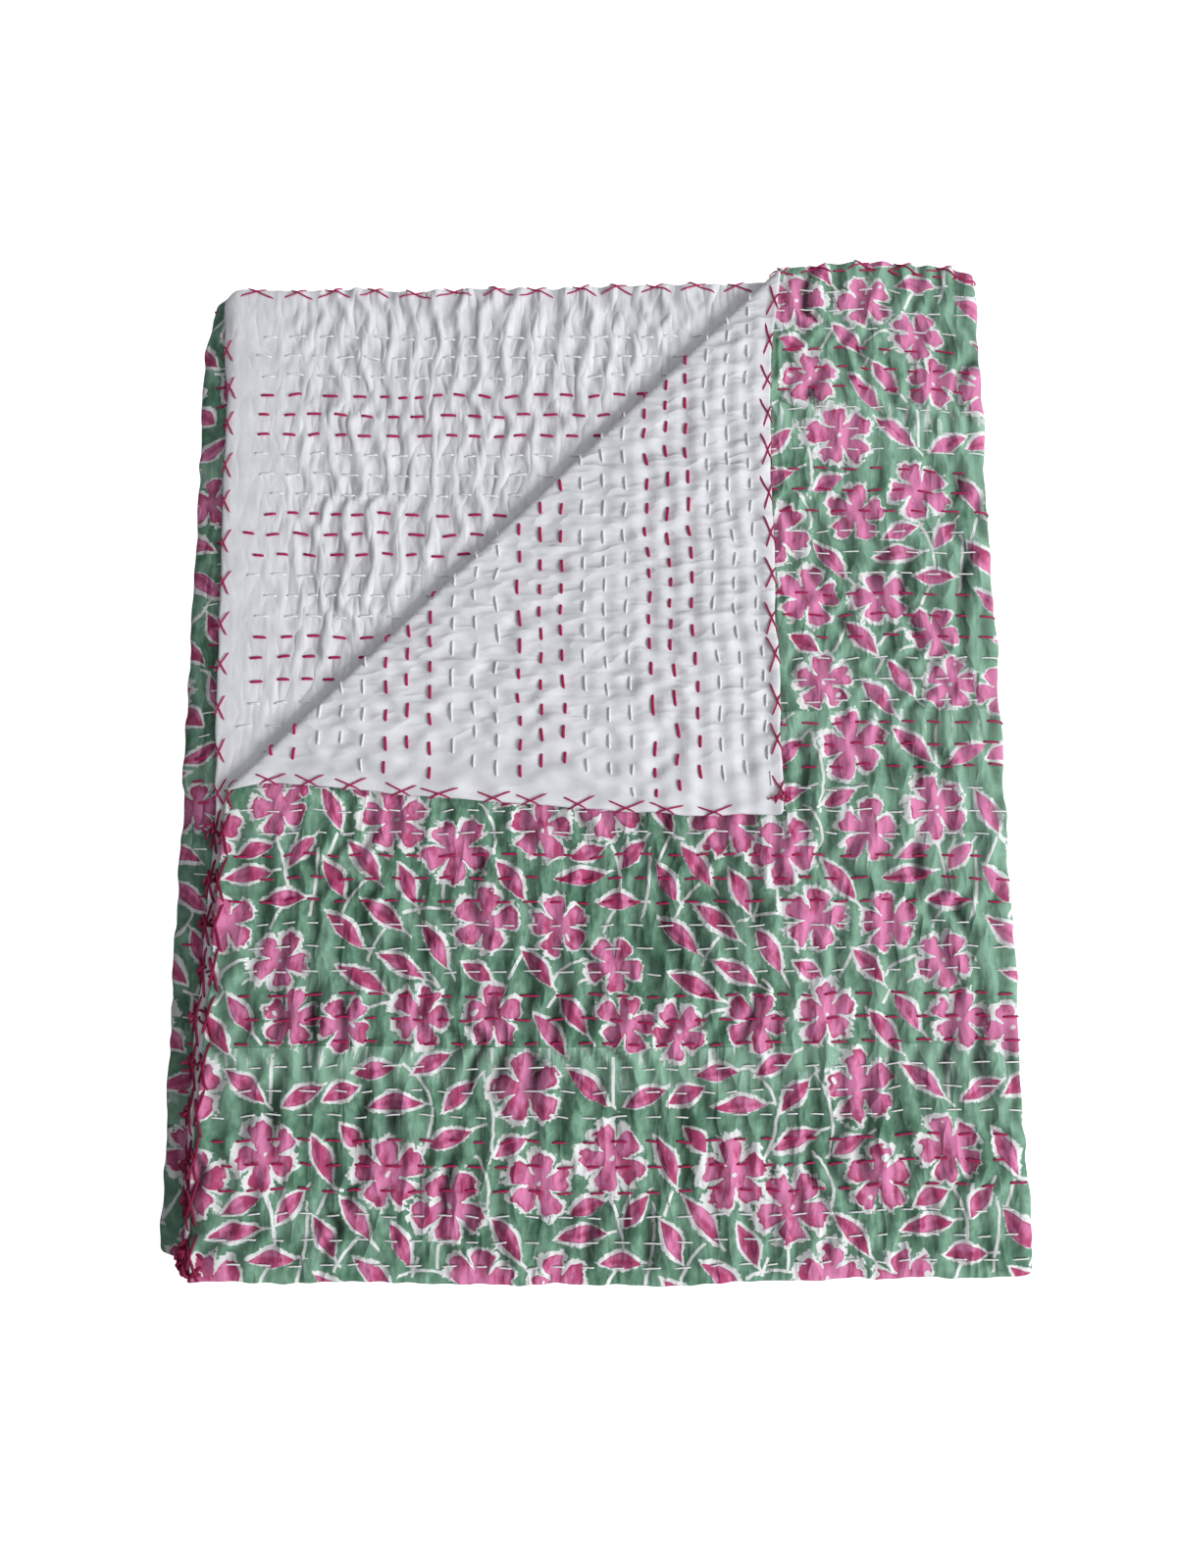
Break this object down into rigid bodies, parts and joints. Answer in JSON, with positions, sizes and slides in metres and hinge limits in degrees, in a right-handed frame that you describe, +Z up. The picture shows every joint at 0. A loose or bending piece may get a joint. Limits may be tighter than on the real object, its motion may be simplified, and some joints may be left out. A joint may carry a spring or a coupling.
{
  "type": "folded quilted bedspread",
  "caption": "Reversible hand-quilted cotton bedspread folded into a flat pile, one corner of its top layer turned back to show the plain white side.",
  "frame": {"origin": "middle of the pile's underside, on the surface it lies on", "axes": "+Z up through the folded layers, +Y from the folded near edge to the open far edges, +X toward the side where the top panel folds under"},
  "size_m": [0.5096, 0.635, 0.0302],
  "materials": {
    "printed_cotton": "matt woven cotton, green block print with pink flowers",
    "white_cotton": "matt woven cotton, plain white"
  },
  "bodies": {
    "root": {"printed_face": "printed_cotton", "white_back": "white_cotton"}
  },
  "joints": []
}
